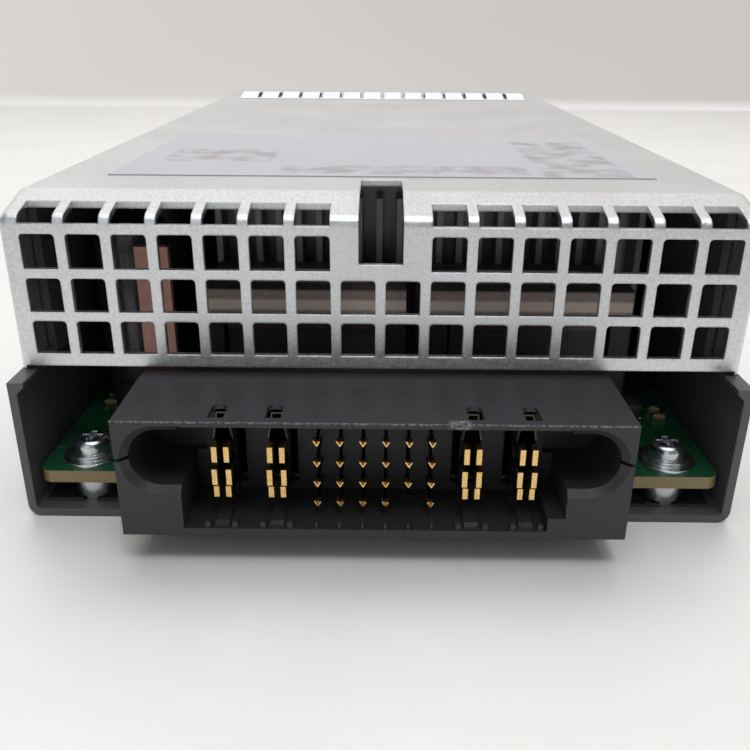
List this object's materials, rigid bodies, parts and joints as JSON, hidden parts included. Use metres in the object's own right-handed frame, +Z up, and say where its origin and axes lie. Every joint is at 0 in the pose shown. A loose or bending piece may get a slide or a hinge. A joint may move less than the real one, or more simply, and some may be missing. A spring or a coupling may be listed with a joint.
{
  "type": "hot swap server power supply",
  "caption": "Slim metal-cased power supply module with a blind-mate output connector, vented rear face, cooling fan, mains inlet, pull handle and release latch.",
  "frame": {"origin": "middle of the tray's connector end, on the base plane", "axes": "+Z up, +Y from the output connector to the fan and mains inlet, +X to the right seen from the connector end"},
  "size_m": [0.0874, 0.1923, 0.0393],
  "materials": {
    "black_steel": "fine semi-gloss black coat over steel, bare at cut edges",
    "satin_steel": "satin plated sheet steel",
    "clear_film": "thin dark insulating film",
    "zinc_steel": "bright zinc plate",
    "bright_steel": "bright plated steel",
    "bright_spring": "bright spring strip",
    "label_paper": "blank matt label stock",
    "board_green": "green solder mask on glass fibre",
    "plug_plastic": "fine moulded dark plastic",
    "black_plastic": "fine moulded black plastic",
    "latch_plastic": "smooth dark red plastic",
    "fan_plastic": "moulded black plastic",
    "gold_plate": "gold flash over copper alloy",
    "nickel_brass": "nickel plate over brass",
    "clear_lens": "clear moulded light guide",
    "bronze": "sintered bronze",
    "lamination": "stacked steel laminations",
    "ferrite": "sintered ferrite",
    "chrome_wire": "bright plated wire",
    "copper": "bare copper",
    "bobbin_plastic": "pale moulded plastic",
    "black_aluminium": "black anodised extrusion",
    "package_epoxy": "moulded epoxy",
    "can_sleeve": "printed shrink sleeve left plain",
    "yellow_tape": "polyester tape",
    "core_coat": "epoxy coat",
    "enamel_wire": "enamelled copper wire",
    "yellow_box": "moulded capacitor box",
    "ceramic_body": "white ceramic",
    "wire_jacket": "soft wire jacket",
    "header_plastic": "natural nylon"
  },
  "bodies": {
    "supply": {"chassis_tray": "black_steel", "top_cover": "satin_steel", "insulating_liner": "clear_film", "case_screws": "zinc_steel", "rating_label": "label_paper", "emi_finger_strip": "bright_spring", "main_board": "board_green", "board_standoffs": "bright_steel", "board_washers": "bright_steel", "board_screws": "zinc_steel", "connector_housing": "plug_plastic", "power_contacts": "gold_plate", "signal_contacts": "gold_plate", "front_panel": "black_steel", "ac_inlet_shell": "black_plastic", "inlet_pins": "nickel_brass", "status_lamp": "clear_lens", "handle_pins": "zinc_steel", "latch_bracket": "zinc_steel", "latch_pin": "zinc_steel", "latch_spring": "bright_spring", "fan_frame": "black_plastic", "fan_bearings": "bronze", "fan_stator": "lamination", "fan_guard": "chrome_wire", "fan_screws": "zinc_steel", "output_busbar": "copper", "output_choke_cores": "ferrite", "output_choke_bobbins": "bobbin_plastic", "output_choke_windings": "copper", "secondary_heat_sink": "black_aluminium", "primary_heat_sink": "black_aluminium", "secondary_devices": "package_epoxy", "primary_devices": "package_epoxy", "bridge_rectifier": "package_epoxy", "device_screws": "zinc_steel", "output_capacitors": "can_sleeve", "bulk_capacitors": "can_sleeve", "transformer_core": "ferrite", "transformer_bobbin": "bobbin_plastic", "transformer_winding": "yellow_tape", "boost_choke_core": "core_coat", "boost_choke_winding": "enamel_wire", "choke_cradles": "black_plastic", "emi_choke_core": "core_coat", "emi_choke_winding": "enamel_wire", "film_capacitor": "yellow_box", "inrush_relay": "package_epoxy", "mains_fuse": "ceramic_body", "fuse_clips": "nickel_brass", "control_card": "board_green", "card_chips": "package_epoxy", "air_baffle": "clear_film", "inlet_wires": "wire_jacket", "fan_plug": "header_plastic", "fan_lead": "wire_jacket"},
    "rotor": {"fan_rotor": "fan_plastic", "rotor_magnet": "ferrite"},
    "handle": {"pull_handle": "black_plastic"},
    "latch": {"release_latch": "latch_plastic"}
  },
  "joints": [
    {"name": "fan_spin", "type": "hinge", "parent": "supply", "child": "rotor", "pos_m": [-0.0216, 0.157, 0.0192], "axis": [0, 1, 0], "continuous": true},
    {"name": "handle_swing", "type": "hinge", "parent": "supply", "child": "handle", "pos_m": [0.0155, 0.1752, 0.0085], "axis": [-1, 0, 0], "range_deg": [0, 90]},
    {"name": "latch_press", "type": "hinge", "parent": "supply", "child": "latch", "pos_m": [0.0372, 0.146, 0.019], "axis": [0, 0, 1], "range_deg": [0, 6.5], "stiffness_Nm_per_rad": 1, "springref_deg": -5.73, "deforming": ["latch_spring"]}
  ]
}
